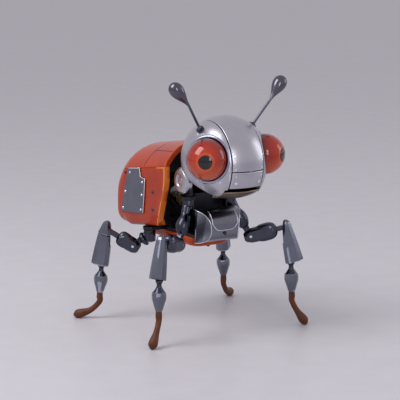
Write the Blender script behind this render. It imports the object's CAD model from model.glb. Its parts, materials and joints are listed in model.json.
"""Looks of the solar robot kit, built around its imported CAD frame.

Sizes are in millimetres and become metres where a mesh is made. +Z is up, the face looks along -Y
and the robot's right side is -X. Shells, eyes, legs and antennas are modelled meshes; the inner
pieces are the CAD nodes themselves with a finish and softened edges.
"""

import json
from math import asin, atan2, cos, pi, radians, sin, sqrt, tan

import bmesh
import bpy
import numpy as np
from mathutils import Matrix, Vector


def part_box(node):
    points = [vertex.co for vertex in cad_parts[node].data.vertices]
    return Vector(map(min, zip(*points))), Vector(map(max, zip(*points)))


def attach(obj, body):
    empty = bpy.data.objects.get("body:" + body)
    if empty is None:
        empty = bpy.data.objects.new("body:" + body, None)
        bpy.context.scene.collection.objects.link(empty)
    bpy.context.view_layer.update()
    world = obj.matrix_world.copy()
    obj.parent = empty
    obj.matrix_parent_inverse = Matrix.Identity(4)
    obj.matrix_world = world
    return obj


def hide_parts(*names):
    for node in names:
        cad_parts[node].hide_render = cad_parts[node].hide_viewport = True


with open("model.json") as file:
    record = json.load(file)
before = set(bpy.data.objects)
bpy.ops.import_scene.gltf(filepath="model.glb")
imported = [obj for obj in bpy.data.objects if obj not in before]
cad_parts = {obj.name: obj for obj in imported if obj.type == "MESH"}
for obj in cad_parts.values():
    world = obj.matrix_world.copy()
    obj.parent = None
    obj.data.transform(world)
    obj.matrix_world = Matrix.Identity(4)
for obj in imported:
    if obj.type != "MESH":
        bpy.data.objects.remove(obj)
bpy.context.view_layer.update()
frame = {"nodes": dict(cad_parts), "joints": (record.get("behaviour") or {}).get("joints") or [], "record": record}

MM = 0.001
SIDES = {"right": -1, "left": 1}  # sign of X on each side


# ---------- places taken from the frame ----------

def node_box(node):
    """Lowest and highest corner of a CAD node in millimetres."""
    low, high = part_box(node)
    return np.array(low) / MM, np.array(high) / MM


JOINTS = {joint["name"]: joint for joint in frame["joints"]}


def joint_at(name):
    """Place of a joint in millimetres."""
    return np.array(JOINTS[name]["pos_m"]) / MM


# ---------- materials ----------

def principled(name, **values):
    """A new material and its shader, with the given sockets set."""
    material = bpy.data.materials.new(name)
    material.use_nodes = True
    shader = material.node_tree.nodes["Principled BSDF"]
    for socket, value in values.items():
        shader.inputs[socket.replace("_", " ")].default_value = value
    return material, shader


def add_node(material, kind, **inputs):
    """A new node in a material or world, with the given sockets set."""
    node = material.node_tree.nodes.new(kind)
    for name, value in inputs.items():
        node.inputs[name.replace("_", " ")].default_value = value
    return node


def link(material, a, b):
    material.node_tree.links.new(a, b)


def object_noise(material, scale, detail=3.0, stretch=(1, 1, 1)):
    """Noise fixed to the object, in features per metre."""
    place = add_node(material, "ShaderNodeTexCoord")
    mapping = add_node(material, "ShaderNodeMapping", Scale=stretch)
    noise = add_node(material, "ShaderNodeTexNoise", Scale=scale, Detail=detail)
    link(material, place.outputs["Object"], mapping.inputs["Vector"])
    link(material, mapping.outputs["Vector"], noise.inputs["Vector"])
    return noise.outputs["Fac"]


def ramp(material, source, stops):
    """Colour ramp through (place, colour) stops."""
    node = add_node(material, "ShaderNodeValToRGB")
    link(material, source, node.inputs["Fac"])
    elements = node.color_ramp.elements
    while len(elements) < len(stops):
        elements.new(0.5)
    for element, (place, colour) in zip(elements, stops):
        element.position = place
        element.color = (*colour, 1)
    return node.outputs["Color"]


def between(material, source, low, high, from_low=0.0, from_high=1.0):
    """A value mapped from one range to another."""
    node = add_node(material, "ShaderNodeMapRange", From_Min=from_low, From_Max=from_high,
                    To_Min=low, To_Max=high)
    link(material, source, node.inputs["Value"])
    return node.outputs["Result"]


def blend_base(material, shader, factor, tone, other):
    """Base colour that goes from a tone to another colour."""
    mix = add_node(material, "ShaderNodeMix")
    mix.data_type = "RGBA"
    link(material, factor, mix.inputs["Factor"])
    link(material, tone, mix.inputs[6])
    mix.inputs[7].default_value = (*other, 1)
    link(material, mix.outputs[2], shader.inputs["Base Color"])


def roughen(material, shader, noise, low, high):
    """Roughness that follows a noise between two values."""
    link(material, between(material, noise, low, high, 0.3, 0.7), shader.inputs["Roughness"])


def bump(material, shader, height, strength, distance):
    node = add_node(material, "ShaderNodeBump", Strength=strength, Distance=distance)
    link(material, height, node.inputs["Height"])
    link(material, node.outputs["Normal"], shader.inputs["Normal"])


def tint(colour, factor):
    return tuple(min(1.0, c * factor) for c in colour)


def edge_mask(material, low, high):
    """1 on convex edges, 0 on flat faces."""
    geometry = add_node(material, "ShaderNodeNewGeometry")
    return between(material, geometry.outputs["Pointiness"], 0, 1, low, high)


METAL_GRAIN = 2600  # features per metre


def worn_metal(name, colour, roughness, wear=1.35, spread=0.05, coat=0.0):
    """Metal with patches of tone, fine grain and brighter edges."""
    material, shader = principled(name, Metallic=1.0, Coat_Weight=coat, Coat_Roughness=0.08)
    tone = ramp(material, object_noise(material, 90),
                [(0.3, tint(colour, 0.94)), (0.7, tint(colour, 1.05))])
    blend_base(material, shader, edge_mask(material, 0.52, 0.58), tone, tint(colour, wear))
    fine = object_noise(material, METAL_GRAIN, 4.0)
    roughen(material, shader, fine, roughness - spread / 2, roughness + spread / 2)
    bump(material, shader, fine, 0.006, 0.00003)
    return material


def lacquer(name, colour, light, dark, roughness):
    """Glossy lacquered plastic, lighter on its edges."""
    material, shader = principled(name, Coat_Weight=0.25, Coat_Roughness=0.07,
                                  Specular_IOR_Level=0.2)
    tone = ramp(material, object_noise(material, 60), [(0.32, dark), (0.68, colour)])
    blend_base(material, shader, edge_mask(material, 0.52, 0.6), tone, light)
    fine = object_noise(material, 1400, 4.0)
    roughen(material, shader, fine, roughness - 0.04, roughness + 0.04)
    bump(material, shader, object_noise(material, 500, 2.0), 0.02, 0.00005)
    return material


def eye_glaze():
    """Deep orange-red gloss, lighter in a ring round the pupil and towards the bottom."""
    material, shader = principled("eye_glaze", Roughness=0.1, Coat_Weight=0.6, Coat_Roughness=0.02,
                                  Specular_IOR_Level=0.35)
    place = add_node(material, "ShaderNodeTexCoord")
    split = add_node(material, "ShaderNodeSeparateXYZ")
    link(material, place.outputs["Object"], split.inputs["Vector"])
    reach = between(material, split.outputs["Z"], 0, 1, EYE_R * 0.2 * MM, EYE_R * MM)
    ring = ramp(material, reach, [(0.0, (0.16, 0.005, 0.001)), (0.5, (0.38, 0.013, 0.001)),
                                  (0.84, (0.52, 0.032, 0.003)), (0.93, (0.78, 0.11, 0.012))])
    low = between(material, split.outputs["X"], 0, 0.65, 0.1 * EYE_R * MM, 0.95 * EYE_R * MM)
    blend_base(material, shader, low, ring, (0.76, 0.15, 0.03))
    return material


def rubber(name, colour):
    """Matt rubber or soft plastic with patches of tone and a fine pebbled surface."""
    material, shader = principled(name, Specular_IOR_Level=0.4)
    tone = ramp(material, object_noise(material, 240),
                [(0.3, tint(colour, 0.7)), (0.72, tint(colour, 1.35))])
    link(material, tone, shader.inputs["Base Color"])
    fine = object_noise(material, 1500, 5.0)
    roughen(material, shader, fine, 0.38, 0.6)
    bump(material, shader, fine, 0.25, 0.00015)
    return material


def cell_glass():
    """Slate cell plate with a fine upright grain under a satin cover."""
    material, shader = principled("solar_slate", Metallic=0.55, Coat_Weight=0.4, Coat_Roughness=0.2)
    base = (0.105, 0.11, 0.15)
    tone = ramp(material, object_noise(material, 70),
                [(0.3, tint(base, 0.85)), (0.7, tint(base, 1.25))])
    blend_base(material, shader, edge_mask(material, 0.53, 0.58), tone, (0.75, 0.76, 0.82))
    fine = object_noise(material, 1100, 4.0, (1, 1, 0.15))
    roughen(material, shader, fine, 0.32, 0.46)
    bump(material, shader, fine, 0.05, 0.0001)
    return material


EYE_R = 11.8
ORANGE, ORANGE_EDGE, ORANGE_DEEP = (0.50, 0.043, 0.003), (0.90, 0.24, 0.04), (0.40, 0.029, 0.002)

MATERIALS = {
    "orange_shell": lacquer("orange_shell", ORANGE, ORANGE_EDGE, ORANGE_DEEP, 0.3),
    "eye_glaze": eye_glaze(),
    "pupil_black": worn_metal("pupil_black", (0.02, 0.016, 0.018), 0.12, wear=1.0, coat=1.0),
    "black_frame": worn_metal("black_frame", (0.035, 0.036, 0.042), 0.42),
    "solar_slate": cell_glass(),
    "bright_steel": worn_metal("bright_steel", (0.72, 0.72, 0.76), 0.22),
    "gunmetal": worn_metal("gunmetal", (0.06, 0.063, 0.085), 0.2, wear=1.0),
    "antenna_metal": worn_metal("antenna_metal", (0.13, 0.125, 0.155), 0.16, wear=1.0),
    "foot_rubber": rubber("foot_rubber", (0.115, 0.029, 0.006)),
    "motor_steel": worn_metal("motor_steel", (0.55, 0.55, 0.57), 0.3),
    "brass_weight": worn_metal("brass_weight", (0.62, 0.43, 0.16), 0.28),
    "lead_plastic": rubber("lead_plastic", (0.5, 0.05, 0.03)),
    "bezel_metal": worn_metal("bezel_metal", (0.36, 0.39, 0.50), 0.2),
    "satin_silver": worn_metal("satin_silver", (0.50, 0.49, 0.545), 0.3, wear=1.7, spread=0.02),
    "leg_steel": worn_metal("leg_steel", (0.17, 0.18, 0.225), 0.2, wear=2.6),
    "pod_steel": worn_metal("pod_steel", (0.075, 0.08, 0.105), 0.2, wear=1.0),
    "chest_steel": worn_metal("chest_steel", (0.2, 0.205, 0.24), 0.25, wear=2.4),
    "lip_bronze": worn_metal("lip_bronze", (0.16, 0.12, 0.09), 0.3, wear=2.2),
    "dark_inside": worn_metal("dark_inside", (0.02, 0.018, 0.02), 0.5, wear=1.0),
}


# ---------- numbers and curves ----------

def soft_max(a, b, k):
    """Larger of two values, with a rounded change-over k wide."""
    h = min(1.0, max(0.0, 0.5 + 0.5 * (a - b) / k))
    return b + (a - b) * h + k * h * (1 - h)


def smooth_step(value, low, high):
    """0 below low, 1 above high and a smooth rise between."""
    t = min(1.0, max(0.0, (value - low) / (high - low)))
    return t * t * (3 - 2 * t)


def last_true(test, low, high, steps):
    """Largest value between two at which a test still holds, found by halving."""
    for _ in range(steps):
        middle = (low + high) / 2
        if test(middle):
            low = middle
        else:
            high = middle
    return low


def spline(points, steps):
    """Catmull-Rom curve through points."""
    points = [2 * points[0] - points[1]] + list(points) + [2 * points[-1] - points[-2]]
    out = []
    for i in range(1, len(points) - 2):
        a, b, c, d = points[i - 1:i + 3]
        for k in range(steps):
            t = k / steps
            out.append(0.5 * (2 * b + (c - a) * t + (2 * a - 5 * b + 4 * c - d) * t * t
                              + (3 * b - a - 3 * c + d) * t ** 3))
    out.append(points[-2])
    return out


def smooth_profile(profile, steps):
    """Catmull-Rom curve through (share, radius) points."""
    curve = spline([np.array(p, float) for p in profile], steps)
    return [(float(p[0]), max(0.02, float(p[1]))) for p in curve]


# ---------- mesh helpers ----------

def mesh_object(name, vertices, faces):
    """Smooth mesh object from points in millimetres."""
    mesh = bpy.data.meshes.new(name)
    mesh.from_pydata([tuple(float(c) * MM for c in v) for v in vertices], [], faces)
    mesh.polygons.foreach_set("use_smooth", [True] * len(mesh.polygons))
    mesh.validate()
    mesh.update()
    obj = bpy.data.objects.new(name, mesh)
    bpy.context.scene.collection.objects.link(obj)
    return obj


def grid_faces(rows, columns, closed=False):
    """Quads of a grid of rows x columns points; closed joins the last column to the first."""
    faces = []
    for r in range(rows - 1):
        for c in range(columns if closed else columns - 1):
            d = (c + 1) % columns
            low, high = r * columns, (r + 1) * columns
            faces.append((low + c, low + d, high + d, high + c))
    return faces


def end_caps(rows, sides):
    """Faces that close the first and the last ring of a closed grid."""
    last = (rows - 1) * sides
    return [tuple(range(sides))[::-1], tuple(last + k for k in range(sides))]


def face_away(points, faces, inner):
    """Faces turned so that their front looks away from an inner point."""
    total = 0.0
    for face in faces[::7]:
        a, b, c = (points[i] for i in face[:3])
        total += float(np.cross(b - a, c - a) @ (a - inner))
    return faces if total > 0 else [f[::-1] for f in faces]


def bevel(obj, width, segments, angle):
    """Rounds edges sharper than an angle in degrees."""
    modifier = obj.modifiers.new("soft_edges", "BEVEL")
    modifier.width = width * MM
    modifier.segments = segments
    modifier.limit_method = "ANGLE"
    modifier.angle_limit = radians(angle)
    modifier.harden_normals = True


def thicken(obj, wall):
    """Gives a surface a wall, laid inwards, with the second material on its inner face."""
    modifier = obj.modifiers.new("wall", "SOLIDIFY")
    modifier.thickness = wall * MM
    modifier.offset = -1
    modifier.use_even_offset = False
    modifier.material_offset = 1


def finish_piece(obj, body, slot, nodes=(), material=None):
    """Gives a piece its body, finish and the CAD nodes it stands for."""
    obj.data.materials.clear()
    obj.data.materials.append(MATERIALS[material or slot])
    if "wall" in obj.modifiers:
        obj.data.materials.append(MATERIALS["dark_inside"])
    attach(obj, body)
    if nodes:
        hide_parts(*nodes)


def ring(middle, radius, across, over, sides):
    """Points of a circle, given two directions square to its axis."""
    turns = [2 * pi * k / sides for k in range(sides)]
    return [middle + radius * (across * cos(a) + over * sin(a)) for a in turns]


def lathe(name, start, end, profile, sides):
    """Solid of revolution from start to end; profile holds (share of the length, radius)."""
    start, end = np.array(start, float), np.array(end, float)
    way = end - start
    length = np.linalg.norm(way)
    way = way / length
    across = np.cross(way, (0, 1, 0) if abs(way[1]) < 0.9 else (1, 0, 0))
    across /= np.linalg.norm(across)
    over = np.cross(way, across)
    points = []
    for share, radius in profile:
        points += ring(start + way * share * length, radius, across, over, sides)
    rows = len(profile)
    return mesh_object(name, points, grid_faces(rows, sides, closed=True) + end_caps(rows, sides))


def axes_matrix(x_axis, y_axis, z_axis, origin):
    """Matrix from three directions and an origin in millimetres."""
    matrix = Matrix.Identity(4)
    for row in range(3):
        matrix[row][0], matrix[row][1], matrix[row][2] = x_axis[row], y_axis[row], z_axis[row]
        matrix[row][3] = origin[row] * MM
    return matrix


# ---------- head ----------

HEAD = np.array([0, -27.5, 103.5])  # centre of the cheeks' ball
CHEEK_R = 25.0
STRIP_BALL = np.array([0, -28.0, 102.3])  # centre of the raised strip from muzzle to nape
STRIP_R = 26.3
STRIP_HALF = 10.6
STRIP_COLUMNS = 28
STRIP_FADE = 9  # width over which the cheeks rise to meet the strip
STRIP_PROUD = 0.15
SEAM = 0.45
BROW_Z = 99.4  # cross seam between forehead and muzzle
MOUTH_Z = 89.4
WALL = 1.6  # of the head and body shells
CHIN = np.array([-45.0, 81.5])  # (y, z) of a point on the slanted edge under the head
NECKLINE = 30.0  # slant of that edge
CHEEK_CORNER_X = 12.2
CHEEK_CORNER_ROUND = 6
EYE_TURN = 58.0  # where an eye sits: degrees outwards from straight ahead, and up
EYE_RISE = 6.6
EYE_OUT = 23.0
EYE_GROOVE = 0.25  # depth of the eye's groove round the pupil
BEZEL_R = 13.7
BEZEL_INNER_R = 12.05
PUPIL_TURN = 37.0
PUPIL_R = 4.0


def direction(turn, side, rise=0.0):
    """Direction turned sideways from straight ahead, and upwards, by angles in degrees."""
    turn, rise = radians(turn), radians(rise)
    return np.array([SIDES[side] * sin(turn) * cos(rise), -cos(turn) * cos(rise), sin(rise)])


def over_neckline(p):
    """How far a point lies above the slanted edge under the head."""
    slope = radians(NECKLINE)
    return (p[2] - CHIN[1]) * cos(slope) - (p[1] - CHIN[0]) * sin(slope)


def head_surface(way):
    """Point of the head's outer surface in a direction from the head's centre."""
    offset = HEAD - STRIP_BALL
    along = way @ offset
    reach_strip = -along + sqrt(along * along - offset @ offset + STRIP_R ** 2)
    p = HEAD + way * CHEEK_R
    near = smooth_step(STRIP_HALF + STRIP_FADE - abs(p[0]), 0, STRIP_FADE)
    return HEAD + way * (CHEEK_R + (reach_strip - STRIP_PROUD - CHEEK_R) * near)


def in_cheek(p):
    """If a point of the right side's surface belongs to the cheek shell."""
    if p[0] > -STRIP_HALF - SEAM / 2 or over_neckline(p) <= 0:
        return False
    if p[2] > MOUTH_Z - 0.4 or p[1] > -35:
        return True
    return -soft_max(p[0] + CHEEK_CORNER_X, -over_neckline(p), CHEEK_CORNER_ROUND) > 0


def frame_of(axis):
    """Two directions square to an axis, the first one level where it can be."""
    first = np.cross((0, 0, 1), axis)
    first = first / np.linalg.norm(first)
    return first, np.cross(axis, first)


def polar_panel(pole, surface, inside, rays, rings, start, limit):
    """Panel that spreads from round a pole direction to where inside() ends."""
    first, second = frame_of(pole)

    def point(turn, spread):
        ring_way = first * cos(turn) + second * sin(turn)
        return surface(pole * cos(spread) + ring_way * sin(spread))

    def edge(turn):
        spread = start
        step = radians(1.5)
        while spread + step < limit and inside(point(turn, spread + step)):
            spread += step
        return last_true(lambda s: inside(point(turn, s)), spread, spread + step, 16)

    turns = [2 * pi * k / rays for k in range(rays)]
    edges = [edge(t) for t in turns]
    points = [point(t, start + (e - start) * r / (rings - 1))
              for r in range(rings) for t, e in zip(turns, edges)]
    return points, grid_faces(rings, rays, closed=True)


def mirrored(points):
    """Points of the other side of the robot."""
    return [np.array([-p[0], p[1], p[2]]) for p in points]


def cheeks():
    """Cheek shells, each spread from round its eye to the strip and the neckline."""
    start = asin((BEZEL_R - 0.5) / CHEEK_R)
    points, faces = polar_panel(direction(EYE_TURN, "right", EYE_RISE), head_surface, in_cheek,
                                300, 26, start, radians(150))
    for side in SIDES:
        own = points if side == "right" else mirrored(points)
        obj = mesh_object(f"cheek_shell_{side}", own, face_away(own, faces, HEAD))
        thicken(obj, WALL)
        bevel(obj, 0.42, 3, 50)
        finish_piece(obj, "head", "satin_silver", [f"cheek_{side}"])


def strip_point(x, angle):
    """Point of the strip at a sideways place and an angle up from straight ahead."""
    ring = sqrt(STRIP_R ** 2 - x * x)
    return STRIP_BALL + np.array([x, -ring * cos(angle), ring * sin(angle)])


def strip_panel(name, node, low, high, rows):
    """Strip of the head between two edge functions, each giving the angle at a sideways place."""
    half = STRIP_HALF - SEAM / 2
    points = []
    for r in range(rows):
        for c in range(STRIP_COLUMNS):
            x = -half + 2 * half * c / (STRIP_COLUMNS - 1)
            a, b = low(x), high(x)
            points.append(strip_point(x, a + (b - a) * r / (rows - 1)))
    obj = mesh_object(name, points, face_away(points, grid_faces(rows, STRIP_COLUMNS), HEAD))
    thicken(obj, WALL)
    bevel(obj, 0.45, 3, 50)
    finish_piece(obj, "head", "satin_silver", [node])


def angle_at_height(x, z):
    """Angle of the strip's point at a sideways place and a height."""
    return asin((z - STRIP_BALL[2]) / sqrt(STRIP_R ** 2 - x * x))


def angle_at_neckline(x):
    """Angle at which the strip meets the slanted edge behind the head."""
    return last_true(lambda a: over_neckline(strip_point(x, a)) > 0, radians(100), radians(300), 40)


def forehead_and_muzzle():
    strip_panel("forehead_shell", "forehead_plate",
                lambda x: angle_at_height(x, BROW_Z + SEAM / 2), angle_at_neckline, 72)
    strip_panel("muzzle_shell", "muzzle_plate", lambda x: angle_at_height(x, MOUTH_Z + 0.25),
                lambda x: angle_at_height(x, BROW_Z - SEAM / 2), 16)


def local_frame(origin, axis):
    """Matrix with its origin in millimetres, +Z along the axis and +X downwards."""
    axis = np.array(axis) / np.linalg.norm(axis)
    down = np.array([0, 0, -1.0])
    x_axis = down - axis * (down @ axis)
    x_axis /= np.linalg.norm(x_axis)
    return axes_matrix(x_axis, np.cross(axis, x_axis), axis, origin)


def ring_mesh(name, profile, sides, matrix, closed_profile=False):
    """Surface of revolution about local Z; profile holds (radius, height) in millimetres."""
    points = [np.array([r * cos(2 * pi * k / sides), r * sin(2 * pi * k / sides), h])
              for r, h in profile for k in range(sides)]
    rows = len(profile)
    faces = grid_faces(rows, sides, closed=True)
    if closed_profile:
        last = (rows - 1) * sides
        faces += [(last + k, last + (k + 1) % sides, (k + 1) % sides, k) for k in range(sides)]
    obj = mesh_object(name, points, faces)
    obj.matrix_world = matrix
    return obj


def arc(center, radius, start, end, steps):
    """Points on an arc, as (x, y) pairs, between two angles in degrees."""
    return [(center[0] + radius * cos(radians(start + (end - start) * k / steps)),
             center[1] + radius * sin(radians(start + (end - start) * k / steps)))
            for k in range(steps + 1)]


def bezels():
    """Soft rings round the eyes."""
    inner = BEZEL_INNER_R
    for side in SIDES:
        profile = [(BEZEL_R + 0.3, 19.2), (BEZEL_R + 0.3, 20.6)]
        profile += arc((BEZEL_R - 0.95, 21.0), 1.2, 5, 90, 8)
        profile += arc((inner + 0.6, 21.6), 0.6, 90, 180, 5)
        profile += [(inner, 20.4), (inner, 19.2)]
        axis = direction(EYE_TURN, side, EYE_RISE)
        obj = ring_mesh(f"eye_ring_{side}", profile, 128, local_frame(HEAD, axis), True)
        bevel(obj, 0.1, 2, 60)
        finish_piece(obj, "head", "bezel_metal", [f"eye_bezel_{side}"])


def eyes():
    """Eye balls with a shallow groove and a raised glossy pupil."""
    rim = asin(PUPIL_R / EYE_R)
    for side in SIDES:
        centre = HEAD + EYE_OUT * direction(EYE_TURN, side, EYE_RISE)
        matrix = local_frame(centre, direction(PUPIL_TURN, side))
        ball = [(EYE_R * sin(rim * 0.6), EYE_R * cos(rim * 0.6) - 2 * EYE_GROOVE),
                (EYE_R * sin(rim), EYE_R * cos(rim) - EYE_GROOVE)]
        turns = [rim + (pi * 0.8 - rim) * k / 60 for k in range(1, 61)]
        ball += [(EYE_R * sin(turn), EYE_R * cos(turn)) for turn in turns]
        obj = ring_mesh(f"eye_ball_{side}", ball[::-1], 128, matrix)
        finish_piece(obj, "head", "eye_glaze", [f"eye_{side}"])
        dome_r = EYE_R + 0.15
        side_r, rim_z = PUPIL_R - 0.05, EYE_R * cos(rim)
        pupil = [(side_r, rim_z - 0.6), (side_r, rim_z + 0.02)]
        turns = [rim * 0.97 * k / 10 for k in range(10, 0, -1)]
        pupil += [(dome_r * sin(turn), dome_r * cos(turn)) for turn in turns] + [(0.01, dome_r)]
        obj = ring_mesh(f"pupil_{side}", pupil, 64, matrix)
        bevel(obj, 0.12, 2, 50)
        finish_piece(obj, "head", "pupil_black", ["pupils"] if side == "right" else [])


DROP_START = (27.8, -33.4, 136.8)  # of the left antenna's drop
DROP_END = (37.8, -31.4, 149)
DROP_PROFILE = [(0.0, 0.85), (0.14, 1.35), (0.32, 2.5), (0.52, 3.75), (0.68, 4.15), (0.84, 3.6),
                (0.95, 2.1), (0.995, 0.5)]
ROOT_PROFILE = [(0.0, 0.4), (0.1, 1.0), (0.35, 1.3), (0.7, 1.1), (1.0, 0.75)]


def antennas():
    """Slim rods that start in a small ball and end in glossy drops."""
    for side, sign in SIDES.items():
        root, body = joint_at(f"antenna_{side}_swing"), f"antenna_{side}_body"
        start, end = (np.array([sign * q[0], q[1], q[2]], float) for q in (DROP_START, DROP_END))
        inside_drop = start + (end - start) * 0.14
        rod_path = spline([root, root + (start - root) * 0.5, start, inside_drop], 10)
        shares = [k / (len(rod_path) - 1) for k in range(len(rod_path))]
        radii = [0.78 + 0.32 * max(0.0, share - 0.7) / 0.3 for share in shares]
        obj = tube(f"antenna_rod_{side}", rod_path, radii, 20)
        finish_piece(obj, body, "antenna_metal", [f"antenna_{side}"])
        obj = lathe(f"antenna_drop_{side}", start, end, smooth_profile(DROP_PROFILE, 8), 64)
        finish_piece(obj, body, "antenna_metal")
        low, high = root + (root - start) * 0.03, root + (start - root) * 0.1
        obj = lathe(f"antenna_ball_{side}", low, high, smooth_profile(ROOT_PROFILE, 6), 32)
        finish_piece(obj, body, "antenna_metal")


# ---------- abdomen ----------

HALF = 24.0
ROOF_R = 27.6
ROOF_Z = 83.4  # of the roof's axis at y = 0
FALL = 9.2  # degrees by which the roof falls towards the tail
FLOOR_Z = 61.6
FLOOR_FALL = 0.14
TAIL_Y = 57.6
TAIL_HALF = 15.0  # half width of the roof's strip down the tail
TAIL_TURN_Y = 47.0  # behind this the strip is as wide as that
ROOF_SEAM_Y = 24.0
ROOF_COLUMNS = 61
CREASE_Z = ROOF_Z + sqrt(ROOF_R ** 2 - HALF ** 2)
CORE = np.array([0, 27.0, 78.0])  # a point well inside
ROOF_CORE_Z = 80.0
EDGE_Y, EDGE_Z = -1.6, 89.6  # foremost corner of the open front edge
EDGE_BELOW, EDGE_ABOVE = 0.329, 0.123  # its slopes under and over that corner
FRONT_RIM = 3.4


def abdomen_depth(x, y, z):
    """Below zero inside the abdomen and above zero outside."""
    x = abs(x)
    fall = radians(FALL)
    axis_z = (z - ROOF_Z) * cos(fall) + y * sin(fall)
    roof = sqrt(x * x + axis_z * axis_z) - ROOF_R if axis_z > 0 else x - ROOF_R
    roof_tail = soft_max(roof, y - TAIL_Y, 4.5 + 10.5 * smooth_step(z, 70, 90))
    side = soft_max(x - HALF, roof_tail, 0.6 + 2.6 * smooth_step(y, 46, 53))
    return soft_max(side, FLOOR_Z - FLOOR_FALL * y - z, 3.2 + 7 * smooth_step(y, 40, 52))


def surface_from(base, way):
    """Point where a ray from inside leaves the abdomen."""
    bx, by, bz = (float(c) for c in base)
    wx, wy, wz = (float(c) for c in way)

    def inside(s):
        return abdomen_depth(bx + wx * s, by + wy * s, bz + wz * s) < 0
    return base + way * last_true(inside, 0.0, 60.0, 22)


def crease(y):
    """Height of the crease between roof and flank."""
    return CREASE_Z - y * tan(radians(FALL))


def front_edge(z):
    """Place along the body of the abdomen's open front edge."""
    lower = EDGE_Y + (EDGE_Z - z) * EDGE_BELOW
    upper = EDGE_Y + (z - EDGE_Z) * EDGE_ABOVE
    return soft_max(lower, upper, 3.5) + 2.2 * smooth_step(62 - z, 0, 3.2)


def in_flank(p):
    """If a point of the right side's surface belongs to the flank shell."""
    if p[2] > crease(p[1]) - 0.25 or p[1] < front_edge(p[2]):
        return False
    floor_reach = 10.5 + 9 * (1 - smooth_step(p[1], 6, 20))
    return p[0] < (-TAIL_HALF - 0.2 if p[1] > TAIL_TURN_Y else -floor_reach)


def shell(name, points, faces, node, rim):
    """Orange shell; its wall grows to rim at the open front."""
    obj = mesh_object(name, points, face_away(points, faces, CORE))
    group = obj.vertex_groups.new(name="wall")
    for index, p in enumerate(points):
        near = 1 - smooth_step(p[1] - front_edge(p[2]), 0.5, 6)
        group.add([index], float((WALL + (rim - WALL) * near) / rim), "REPLACE")
    thicken(obj, rim)
    obj.modifiers["wall"].vertex_group = "wall"
    bevel(obj, 0.45, 3, 50)
    finish_piece(obj, "torso", "orange_shell", [node])


def flanks():
    """Flank shells, each spread from the middle of its side."""
    points, faces = polar_panel(np.array([-1.0, 0, 0]), lambda way: surface_from(CORE, way),
                                in_flank, 220, 44, 0.0001, radians(120))
    for side in SIDES:
        own = points if side == "right" else mirrored(points)
        shell(f"flank_shell_{side}", own, faces, f"flank_{side}", FRONT_RIM)


def roof_row(at, keep):
    """Row of roof points across the body, as far to each side as keep allows."""
    reach = last_true(lambda angle: keep(at(angle)), 0.0, radians(100), 18)
    return [at(-reach + 2 * reach * c / (ROOF_COLUMNS - 1)) for c in range(ROOF_COLUMNS)]


def above_crease(p):
    return p[2] > crease(p[1])


def slanted_point(angle, t):
    """Roof point at an angle from the top, t of the way from the front edge to the cross seam."""
    way = np.array([sin(angle), 0, cos(angle)])
    y = 5.0
    for _ in range(3):
        p = surface_from(np.array([0, y, ROOF_CORE_Z]), way)
        start = front_edge(p[2])
        y = start + (ROOF_SEAM_Y - 0.25 - start) * t
    return surface_from(np.array([0, y, ROOF_CORE_Z]), way)


def roof_front():
    """Front roof shell, from the open front edge to the cross seam."""
    rows = 26
    points = []
    for r in range(rows):
        share = r / (rows - 1)
        points += roof_row(lambda angle: slanted_point(angle, share), above_crease)
    shell("roof_shell_front", points, grid_faces(rows, ROOF_COLUMNS), "top_shell_front", 3.2)


def roof_rear():
    """Rear roof shell, from the cross seam down the tail; its rows fan out from one pivot."""
    rows = 130
    pivot = np.array([0, ROOF_SEAM_Y + 0.25, ROOF_CORE_Z])
    end = atan2(TAIL_TURN_Y - pivot[1], FLOOR_Z - TAIL_TURN_Y * FLOOR_FALL - pivot[2])
    side = np.array([1.0, 0, 0])
    points = []
    for r in range(rows):
        turn = end * r / (rows - 1)
        up = np.array([0, sin(turn), cos(turn)])
        points += roof_row(lambda angle: surface_from(pivot, up * cos(angle) + side * sin(angle)),
                           lambda p: above_crease(p) or abs(p[0]) < TAIL_HALF)
    shell("roof_shell_rear", points, grid_faces(rows, ROOF_COLUMNS), "top_shell_rear", WALL)


def roof_seams():
    """Fine seam beads that run forward over the roof from the cross seam."""
    for side, sign in SIDES.items():
        path = [slanted_point(sign * radians(34), 0.06 + 0.94 * k / 30) for k in range(31)]
        obj = tube(f"roof_seam_{side}", path, [0.17] * len(path), 8)
        finish_piece(obj, "torso", "black_frame")


# ---------- trim on the abdomen ----------

# Outline of a cell plate as (y, z) points
CELL = ((41.2, 90.5), (27.3, 92.4), (26.4, 87.4), (21, 86.6), (22.1, 76), (23.6, 65.6),
        (50.2, 62.8), (46.9, 75.6))


def plate(name, outline, depth, matrix):
    """Flat plate from an outline of (x, y) points, its outer face at local z = depth."""
    count = len(outline)
    points = [np.array([x, y, z]) for z in (0.0, depth) for x, y in outline]
    obj = mesh_object(name, points, end_caps(2, count) + grid_faces(2, count, closed=True))
    obj.matrix_world = matrix
    return obj


def solar_cells():
    """Stepped plate on each flank, with a bright rim along its upper and front edges."""
    for side, sign in SIDES.items():
        outline = [(sign * y, z) for y, z in CELL]
        if sign > 0:
            outline = outline[::-1]
        matrix = axes_matrix((0, sign, 0), (0, 0, 1), (sign, 0, 0), (sign * HALF, 0, 0))
        obj = plate(f"cell_plate_{side}", outline, 0.85, matrix)
        bevel(obj, 0.35, 2, 30)
        finish_piece(obj, "torso", "solar_slate", [f"solar_cell_{side}"])
        edge = [np.array([sign * (HALF + 0.72), y, z]) for y, z in CELL[:6]]
        fine = [a + (b - a) * k / 6 for a, b in zip(edge, edge[1:]) for k in range(6)] + [edge[-1]]
        obj = tube(f"cell_rim_{side}", fine, [0.26] * len(fine), 8)
        finish_piece(obj, "torso", "bright_steel")


# ---------- jaw and chest ----------

def on_ball(x, z, radius):
    """Front point of a ball round the strip's centre, at a sideways place and a height."""
    rise = z - STRIP_BALL[2]
    return STRIP_BALL + np.array([x, -sqrt(radius ** 2 - x * x - rise ** 2), rise])


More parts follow.
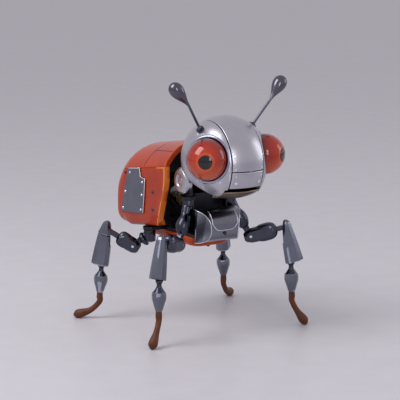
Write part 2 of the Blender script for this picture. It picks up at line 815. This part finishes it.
def jaw():
    """Curved chin with a rolled lower lip, just under the dark mouth slot."""
    half, lip_z, low_z, columns, rows = 11.9, 87.2, 82.6, 41, 14
    ball = STRIP_R - 0.5
    points = []
    for r in range(rows):
        for c in range(columns):
            x = -half + 2 * half * c / (columns - 1)
            z = lip_z + (low_z - lip_z) * r / (rows - 1)
            tuck = 2.2 * (r / (rows - 1)) ** 2
            points.append(on_ball(x, z, ball - tuck))
    obj = mesh_object("chin", points, face_away(points, grid_faces(rows, columns), HEAD))
    thicken(obj, WALL)
    bevel(obj, 0.3, 3, 50)
    finish_piece(obj, "jaw", "gunmetal", ["lower_jaw"], "lip_bronze")
    sides, radius = 10, 0.55
    ahead, up = np.array([0, 1.0, 0]), np.array([0, 0, 1.0])
    lip = []
    for c in range(columns):
        lip += ring(points[c] + np.array([0, 0.15, 0]), radius, ahead, up, sides)
    faces = grid_faces(columns, sides, closed=True) + end_caps(columns, sides)
    obj = mesh_object("lower_lip", lip, faces)
    finish_piece(obj, "jaw", "gunmetal", material="lip_bronze")


def mouth_lining():
    """Dark wall behind the mouth slot."""
    rows, columns, half, low_z, tall, ball = 8, 31, 12.4, 85.2, 5.4, 23.6
    points = []
    for r in range(rows):
        for c in range(columns):
            x = -half + 2 * half * c / (columns - 1)
            points.append(on_ball(x, low_z + tall * r / (rows - 1), ball))
    obj = mesh_object("mouth_lining", points, face_away(points, grid_faces(rows, columns), HEAD))
    thicken(obj, 0.8)
    finish_piece(obj, "head", "black_frame", material="dark_inside")


CHEST_MIDDLE = np.array([0, -17.2, 63.7])
CHEST_DEEP, CHEST_TALL = 11.3, 9.8
CHEST_HALF = 14.0
CHEST_POWER = 2.35  # squareness of the barrel's section; 2 is an ellipse
FACET_AT = (9.3, -28.5, 63.7)  # the left facet's plane
FACET_OUT = (0.86, -0.5, -0.08)


def chest_point(x, angle, proud=0.0):
    """Point on the chest's barrel, at an angle up from straight ahead."""
    power = 2 / CHEST_POWER
    c, t = cos(angle), sin(angle)
    y = (CHEST_DEEP + proud) * abs(c) ** power
    z = (CHEST_TALL + proud) * abs(t) ** power * (1 if t > 0 else -1)
    return CHEST_MIDDLE + np.array([x, -y, z])


def cut_by_plane(mesh, point, normal):
    """Cuts a closed mesh by a plane, drops what lies in front of it and closes the cut."""
    work = bmesh.new()
    work.from_mesh(mesh)
    everything = work.verts[:] + work.edges[:] + work.faces[:]
    cut = bmesh.ops.bisect_plane(work, geom=everything, plane_co=Vector(point) * MM,
                                 plane_no=Vector(normal), clear_outer=True)
    edges = [e for e in cut["geom_cut"] if isinstance(e, bmesh.types.BMEdge)]
    bmesh.ops.holes_fill(work, edges=edges, sides=0)
    work.to_mesh(mesh)
    work.free()


def chest_armour():
    """Barrel-shaped chest with slanted side facets and a hollow back."""
    steps = 40
    section = [chest_point(0, -pi / 2 + pi * k / steps) for k in range(steps + 1)]
    section = [q for q in section if q[1] < CHEST_MIDDLE[1] - 0.8]
    count = len(section)
    reach = CHEST_HALF + 0.2
    points = [p + np.array([x, 0, 0]) for x in (-reach, reach) for p in section]
    faces = [tuple(range(count)), tuple(range(count, 2 * count))[::-1]]
    faces += [(k, count + k, count + (k + 1) % count, (k + 1) % count) for k in range(count)]
    obj = mesh_object("chest_armour", points, face_away(points, faces, CHEST_MIDDLE))
    for sign in (-1, 1):
        cut_by_plane(obj.data, (sign * FACET_AT[0], *FACET_AT[1:]),
                     (sign * FACET_OUT[0], *FACET_OUT[1:]))
    work = bmesh.new()
    work.from_mesh(obj.data)
    back = [f for f in work.faces if f.normal.y > 0.95]
    bmesh.ops.delete(work, geom=back, context="FACES_ONLY")
    work.to_mesh(obj.data)
    work.free()
    obj.data.polygons.foreach_set("use_smooth", [True] * len(obj.data.polygons))
    thicken(obj, 1.3)
    bevel(obj, 0.4, 3, 28)
    finish_piece(obj, "torso", "satin_silver", ["chest_plate"], "chest_steel")


def chest_trim():
    """Raised bib and the beads round it and along the facets."""
    rows, columns, half = 26, 31, 8.7
    bib = []
    for r in range(rows):
        for c in range(columns):
            u = -1 + 2 * c / (columns - 1)
            low, high = -0.12 + 0.3 * abs(u) ** 4, 1.15
            angle = low + (high - low) * r / (rows - 1)
            bib.append(chest_point(half * u * (1 - 0.04 * (r / rows)), angle, 0.42))
    corner = [bib[r * columns] for r in range(rows - 8, 0, -1)]
    edge = corner + bib[:columns] + mirrored(corner[::-1])
    obj = tube("bib_bead", edge, [0.24] * len(edge), 8)
    finish_piece(obj, "torso", "satin_silver")
    for side, sign in SIDES.items():
        rim = []
        for k in range(49):
            q = chest_point(0, -1.5 + 3.0 * k / 48)
            lean = (q[1] - FACET_AT[1]) * FACET_OUT[1] + (q[2] - FACET_AT[2]) * FACET_OUT[2]
            x = FACET_AT[0] + 0.05 - lean / FACET_OUT[0]
            rim.append(np.array([sign * min(x, CHEST_HALF + 0.2), q[1], q[2]]))
        obj = tube(f"chest_bead_{side}", rim, [0.3] * len(rim), 8)
        finish_piece(obj, "torso", "satin_silver")
    obj = mesh_object("chest_bib", bib, face_away(bib, grid_faces(rows, columns), CHEST_MIDDLE))
    thicken(obj, 0.5)
    bevel(obj, 0.18, 2, 50)
    finish_piece(obj, "torso", "satin_silver", material="chest_steel")


BELLY_POWER = 9.0  # squareness of the pan's ends


def belly():
    """Rounded orange pan under the chassis."""
    low, high = node_box("belly_pan")
    middle, half = (low + high) / 2, (high - low) / 2
    rows, columns = 41, 49
    points = []
    for r in range(rows):
        v = sin(pi * (r / (rows - 1) - 0.5) * 0.98)
        swell = (1 - abs(v) ** BELLY_POWER) ** (1 / BELLY_POWER)
        for c in range(columns):
            angle = pi * (c / (columns - 1) - 0.5)
            x = half[0] * swell * abs(sin(angle)) ** 0.5 * (1 if angle > 0 else -1)
            z = high[2] - 2 * half[2] * swell * abs(cos(angle)) ** 0.4
            points.append(np.array([x, middle[1] + half[1] * v, z]))
    inner = np.array([0, middle[1], high[2] + 2])
    obj = mesh_object("belly_shell", points, face_away(points, grid_faces(rows, columns), inner))
    thicken(obj, 1.2)
    bevel(obj, 0.3, 2, 50)
    finish_piece(obj, "torso", "orange_shell", ["belly_pan"])


# ---------- legs ----------

LEGS = [(end, side) for end in ("front", "rear") for side in SIDES]
# Points of a leg as (reach, height): ankle and foot of the spindle, then bend and toe of the foot
ANKLE_TO_SPINDLE = {"front": ((36.3, 37.7), (36.9, 21.0)), "rear": ((29.5, 32.9), (30.6, 17.0))}
FOOT_POINTS = {"front": ((40.0, 8.8), (44.6, 2.4)), "rear": ((36.4, 5.2), (44.6, 2.3))}
FOOT_RADII = (1.5, 1.9, 1.7, 1.75, 2.75, 1.0)
# Profiles as (share of the length, radius)
NECK_PROFILE = [(-0.13, 0.4), (-0.1, 1.5), (0.0, 2.2), (0.09, 1.5), (0.19, 1.55), (0.29, 2.5),
                (0.37, 3.4), (0.4, 3.6)]
BULLET_PROFILE = [(0.375, 3.4), (0.385, 3.85), (0.5, 4.15), (0.64, 4.0), (0.82, 3.1), (1.03, 2.05)]
ARM_PROFILE = [(-0.14, 0.5), (-0.1, 2.2), (0.05, 3.4), (0.2, 3.2), (0.34, 3.0), (0.54, 4.1),
               (0.72, 4.2), (0.9, 3.0), (1.0, 1.4)]


class Leg:
    """Plane of one leg: reach outwards from the hip axis, height above the floor."""

    def __init__(self, end, side):
        self.end = end
        self.name = f"{end}_{side}"
        self.hip = joint_at(f"{self.name}_hip_turn")
        knee = joint_at(f"{self.name}_knee_bend")
        out = knee - joint_at(f"{self.name}_lift")
        out[2] = 0
        self.out = out / np.linalg.norm(out)
        self.across = np.cross(self.out, (0, 0, 1))

    def point(self, reach, height, sideways=0.0):
        """Point in space, in millimetres."""
        base = np.array([self.hip[0], self.hip[1], 0])
        return base + self.out * reach + np.array([0, 0, height]) + self.across * sideways

    def flat(self, place):
        """(reach, height) of a point in space."""
        return np.array([float((place - self.hip) @ self.out), float(place[2])])


def tube(name, path, radii, sides):
    """Closed tube through points, with a radius for each."""
    points = []
    count = len(path)
    for i, p in enumerate(path):
        way = path[min(i + 1, count - 1)] - path[max(i - 1, 0)]
        way = way / np.linalg.norm(way)
        across = np.cross(way, (0.3, 0.95, 0.1))
        across /= np.linalg.norm(across)
        points += ring(p, radii[i], across, np.cross(way, across), sides)
    faces = grid_faces(count, sides, closed=True) + end_caps(count, sides)
    return mesh_object(name, points, face_away(points, faces, (path[0] + path[-1]) / 2))


# Sections of the sheaths from the top down: reach, height, width, depth, tilt in degrees
SHIN_SECTIONS = {
    "front": [(32.9, 63.7, 1.6, 2.0, 0), (33.3, 62.2, 4.4, 4.6, 2), (33.9, 58.0, 6.4, 6.0, 5),
              (35.6, 50.0, 8.8, 7.0, 10), (37.8, 41.0, 10.6, 7.8, 16), (38.3, 38.9, 10.6, 7.8, 17)],
    "rear": [(27.35, 51.9, 7.9, 6.6, 14), (28.4, 45.0, 9.4, 7.4, 13), (30.0, 36.0, 10.4, 7.9, 13),
             (30.4, 33.6, 10.4, 7.9, 13)],
}
CAP_SECTIONS = [(25.6, 60.4, 1.6, 2.0, 4), (25.8, 59.0, 4.4, 4.6, 8), (26.3, 56.0, 6.4, 6.0, 12),
                (27.15, 52.4, 8.3, 7.0, 15)]
SLOT_LOW = {"front": 51, "rear": 47}  # where the slot for the thigh ends
OCTAGON_STEPS = 4


def octagon(width, depth):
    """Outline of a rectangle with cut corners, each edge split into steps."""
    a, b = width / 2, depth / 2
    c = 0.30 * min(width, depth)
    corners = [(a, b - c), (a - c, b), (c - a, b), (-a, b - c),
               (-a, c - b), (c - a, -b), (a - c, -b), (a, c - b)]
    steps = OCTAGON_STEPS
    out = []
    for (x0, y0), (x1, y1) in zip(corners, corners[1:] + corners[:1]):
        out += [(x0 + (x1 - x0) * k / steps, y0 + (y1 - y0) * k / steps) for k in range(steps)]
    return out


def shin_shell(leg, name, sections, node):
    """Faceted sheath of a shin: closed at its top, open at its foot and slotted towards the hip."""
    steps = OCTAGON_STEPS
    count = 8 * steps
    curve = spline([np.array(q, float) for q in sections], 7)
    points = []
    for reach, height, width, depth, tilt in curve:
        turn = radians(tilt)
        for u, v in octagon(width, depth):
            points.append(leg.point(reach + u * cos(turn), height + u * sin(turn), v))
    faces = [face for i, face in enumerate(grid_faces(len(curve), count, closed=True))
             if curve[i // count][1] <= SLOT_LOW[leg.end]
             or not 3 * steps - 1 <= i % count <= 4 * steps]
    if sections[0][2] < 3:
        faces.append(tuple(range(count))[::-1])
    middle = leg.point(*sections[len(sections) // 2][:2])
    obj = mesh_object(name, points, face_away(points, faces, middle))
    thicken(obj, 0.8)
    bevel(obj, 0.32, 3, 28)
    finish_piece(obj, f"{leg.name}_lower", "satin_silver", [node], "leg_steel")


def shin(leg):
    """Sheath of the shin, with the knee cap's own on a rear leg."""
    if leg.end == "rear":
        shin_shell(leg, f"{leg.name}_knee_sheath", CAP_SECTIONS, f"{leg.name}_knee_cap")
    shin_shell(leg, f"{leg.name}_shin_sheath", SHIN_SECTIONS[leg.end], f"{leg.name}_shin")


def foot(leg):
    """Bent rubber foot that swells into a club-shaped toe."""
    ankle, root = (np.array(p) for p in ANKLE_TO_SPINDLE[leg.end])
    bend, toe = (np.array(p) for p in FOOT_POINTS[leg.end])
    down = (root - ankle) / np.linalg.norm(root - ankle)
    last = (toe - bend) / np.linalg.norm(toe - bend)
    knots = [root - down * 2, root + down * 3, root + down * 6.5, bend,
             toe - last * 0.6, toe + last * 2.3]
    knots = [np.array([p[0], p[1], r]) for p, r in zip(knots, FOOT_RADII)]
    curve = spline(knots, 9)
    path = [leg.point(p[0], p[1]) for p in curve]
    obj = tube(f"{leg.name}_rubber_foot", path, [p[2] for p in curve], 28)
    for vertex in obj.data.vertices:
        vertex.co.z = max(vertex.co.z, 0.0)
    finish_piece(obj, f"{leg.name}_tip", "foot_rubber", [f"{leg.name}_foot"])


def spindle(leg):
    """Faceted bullet under a slim dark neck."""
    ankle, root = (np.array(p) for p in ANKLE_TO_SPINDLE[leg.end])
    start, end = leg.point(*ankle), leg.point(*root)
    obj = lathe(f"{leg.name}_ankle_neck", start, end, smooth_profile(NECK_PROFILE, 6), 32)
    finish_piece(obj, f"{leg.name}_tip", "satin_silver", material="gunmetal")
    obj = lathe(f"{leg.name}_bullet", start, end, smooth_profile(BULLET_PROFILE, 4), 10)
    bevel(obj, 0.3, 3, 25)
    finish_piece(obj, f"{leg.name}_tip", "satin_silver", [f"{leg.name}_spindle"], "leg_steel")


def arm_bulges(leg):
    """Dark cast bulges over the hip arm."""
    lift = leg.flat(joint_at(f"{leg.name}_lift"))
    top = np.array([0.0, node_box(f"{leg.name}_arm")[1][2] - 3.3])
    way = (top - lift) / np.linalg.norm(top - lift)
    stop = lift + way * 5.6
    obj = lathe(f"{leg.name}_arm_cover", leg.point(*top), leg.point(*stop),
                smooth_profile(ARM_PROFILE, 6), 32)
    finish_piece(obj, f"{leg.name}_hip", "gunmetal")


# Thigh pods: middle along the thigh, then half length, half height and half thickness
PODS = {"front": (9.2, 6.8, 5.3, 3.6), "rear": (6.4, 4.6, 4.7, 3.4)}
POD_POWER, POD_SECTION = 2.8, 0.72  # squareness of its ends, and of its section


def thigh_pod(leg):
    """Pillow-shaped dark casting round the middle of a thigh."""
    middle, half, tall, thick = PODS[leg.end]
    lift = leg.flat(joint_at(f"{leg.name}_lift"))
    knee = leg.flat(joint_at(f"{leg.name}_knee_bend"))
    along = (knee - lift) / np.linalg.norm(knee - lift)
    up = np.array([-along[1], along[0]])
    rows, sides = 33, 48
    points = []
    for r in range(rows):
        share = sin(pi * (r / (rows - 1) - 0.5) * 0.985)
        swell = (1 - abs(share) ** POD_POWER) ** (1 / POD_POWER)
        for k in range(sides):
            turn = 2 * pi * k / sides
            c, t = cos(turn), sin(turn)
            high = tall * swell * abs(c) ** POD_SECTION * (1 if c > 0 else -1)
            wide = thick * swell * abs(t) ** POD_SECTION * (1 if t > 0 else -1)
            place = lift + along * (middle + half * share) + up * high
            points.append(leg.point(place[0], place[1], wide))
    faces = grid_faces(rows, sides, closed=True) + end_caps(rows, sides)
    centre = leg.point(*(lift + along * middle))
    obj = mesh_object(f"{leg.name}_thigh_pod", points, face_away(points, faces, centre))
    finish_piece(obj, f"{leg.name}_upper", "satin_silver", material="pod_steel")


# ---------- CAD nodes that stay ----------

SLOT_OF = {part["node"]: part["material_slot"] for part in frame["record"]["subparts"]}
PLAIN_EDGE = 0.22
EDGE = {"thigh": 0.6, "nape_discs": 0.4}  # wider edges, by the end of the node's name
OWN_FINISH = {"thigh": "pod_steel", "shell_screws": "gunmetal", "nape_discs": "satin_silver"}


def by_ending(table, name, other):
    """Value of the entry whose key ends a name, or another value."""
    return next((value for ending, value in table.items() if name.endswith(ending)), other)


def dress_cad_nodes():
    """Softened edges and a finish on every CAD node."""
    for name, obj in frame["nodes"].items():
        obj.data.materials.clear()
        obj.data.materials.append(MATERIALS[by_ending(OWN_FINISH, name, SLOT_OF[name])])
        weld = obj.modifiers.new("joined_faces", "WELD")
        weld.merge_threshold = 0.00001
        width = by_ending(EDGE, name, PLAIN_EDGE)
        bevel(obj, width, 3, 24 if width > PLAIN_EDGE else 32)


# ---------- floor, light and camera ----------

FLOOR_SIZE = 16.0
SKY_LOW, SKY_HIGH = (0.10, 0.096, 0.125), (0.80, 0.79, 0.86)
BACKDROP = (0.60, 0.585, 0.62, 1)
CAMERA_AZIMUTH, CAMERA_ELEVATION = -31.82, 10.38  # degrees
CAMERA_DISTANCE = 0.98974
CAMERA_AIM = (0.01013, 0.01533, 0.07171)

def stage():
    """Pale plain floor."""
    bpy.ops.mesh.primitive_plane_add(size=FLOOR_SIZE)
    floor = bpy.context.object
    floor.name = "floor"
    material, shader = principled("pale_floor", Roughness=0.42)
    noise = object_noise(material, 60, 4.0)
    link(material, ramp(material, noise, [(0.3, (0.66, 0.64, 0.67)), (0.7, (0.69, 0.67, 0.70))]),
         shader.inputs["Base Color"])
    floor.data.materials.append(material)


def soft_lamp(name, place, aim, size, power, colour=(1, 1, 1)):
    """Rectangular lamp turned towards a point."""
    lamp = bpy.data.lights.new(name, "AREA")
    lamp.shape = "RECTANGLE"
    lamp.size, lamp.size_y = size
    lamp.energy = power
    lamp.color = colour
    obj = bpy.data.objects.new(name, lamp)
    obj.location = place
    obj.rotation_euler = (Vector(aim) - Vector(place)).to_track_quat("-Z", "Y").to_euler()
    bpy.context.scene.collection.objects.link(obj)


def lamps():
    """Softbox from the left, a weak strip in front and a weak fill from the right."""
    aim = (0, 0, 0.08)
    soft_lamp("top_left_softbox", (-0.55, 0.05, 0.7), aim, (0.4, 0.6), 3.6, (1, 0.98, 1))
    soft_lamp("front_strip", (-0.25, -0.95, 0.4), aim, (0.16, 0.5), 1.1)
    soft_lamp("right_fill", (0.8, -0.3, 0.35), aim, (0.3, 0.5), 0.8, (0.92, 0.94, 1))


def studio_world():
    """Soft sky that lights the object, and the pale backdrop that is seen and mirrored."""
    world = bpy.data.worlds.new("studio")
    bpy.context.scene.world = world
    world.use_nodes = True
    nodes = world.node_tree.nodes
    place = add_node(world, "ShaderNodeTexCoord")
    split = add_node(world, "ShaderNodeSeparateXYZ")
    link(world, place.outputs["Generated"], split.inputs["Vector"])
    height = between(world, split.outputs["Z"], 0, 1, 0.0, 0.9)
    sky = nodes["Background"]
    link(world, ramp(world, height, [(0, SKY_LOW), (1, SKY_HIGH)]), sky.inputs["Color"])
    sky.inputs["Strength"].default_value = 0.75
    backdrop = add_node(world, "ShaderNodeBackground", Color=BACKDROP)
    ray = add_node(world, "ShaderNodeLightPath")
    seen = ray.outputs["Is Camera Ray"]
    for other in ("Is Glossy Ray", "Is Transmission Ray"):
        either = add_node(world, "ShaderNodeMath")
        either.operation = "MAXIMUM"
        link(world, seen, either.inputs[0])
        link(world, ray.outputs[other], either.inputs[1])
        seen = either.outputs["Value"]
    chosen = add_node(world, "ShaderNodeMixShader")
    link(world, seen, chosen.inputs["Fac"])
    link(world, sky.outputs["Background"], chosen.inputs[1])
    link(world, backdrop.outputs["Background"], chosen.inputs[2])
    link(world, chosen.outputs["Shader"], nodes["World Output"].inputs["Surface"])


def camera():
    """Camera at the photographed viewing angle."""
    azimuth, elevation = radians(CAMERA_AZIMUTH), radians(CAMERA_ELEVATION)
    back = Vector((sin(azimuth) * cos(elevation), -cos(azimuth) * cos(elevation), sin(elevation)))
    data = bpy.data.cameras.new("camera")
    data.sensor_width = 36
    data.lens = 148.46
    data.clip_start = 0.05
    obj = bpy.data.objects.new("camera", data)
    obj.location = Vector(CAMERA_AIM) + back * CAMERA_DISTANCE
    obj.rotation_euler = (-back).to_track_quat("-Z", "Y").to_euler()
    bpy.context.scene.collection.objects.link(obj)
    bpy.context.scene.camera = obj


# ---------- the scene ----------

bpy.context.scene.view_settings.view_transform = "Standard"
camera()
stage()
lamps()
studio_world()
dress_cad_nodes()
cheeks()
forehead_and_muzzle()
bezels()
eyes()
antennas()
flanks()
roof_front()
roof_rear()
roof_seams()
solar_cells()
jaw()
mouth_lining()
chest_armour()
chest_trim()
belly()
for end, side in LEGS:
    leg = Leg(end, side)
    foot(leg)
    spindle(leg)
    shin(leg)
    thigh_pod(leg)
    arm_bulges(leg)
